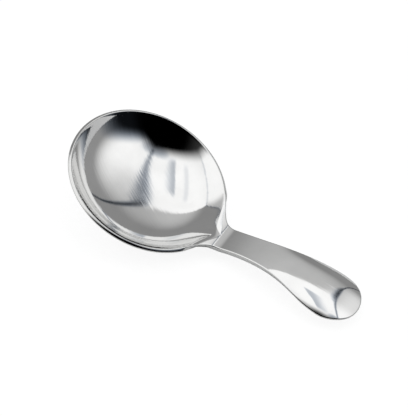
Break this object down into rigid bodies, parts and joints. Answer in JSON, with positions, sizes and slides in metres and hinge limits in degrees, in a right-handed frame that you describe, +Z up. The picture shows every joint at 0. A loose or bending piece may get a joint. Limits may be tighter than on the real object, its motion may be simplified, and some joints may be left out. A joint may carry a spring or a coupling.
{
  "type": "measuring spoon",
  "caption": "Short-handled measuring spoon pressed from one sheet of polished steel: round bowl, narrow neck, and a handle that flares to a domed, rounded end.",
  "frame": {"origin": "on the table under the middle of the spoon's box, with the spoon lying as it comes to rest on its bowl", "axes": "+X from the bowl to the tip of the handle, +Z up from the table, +Y across the spoon; the spoon is symmetric about the XZ plane"},
  "size_m": [0.0964, 0.0498, 0.0183],
  "materials": {
    "polished_steel": "polished"
  },
  "bodies": {
    "root": {"spoon": "polished_steel"}
  },
  "joints": []
}
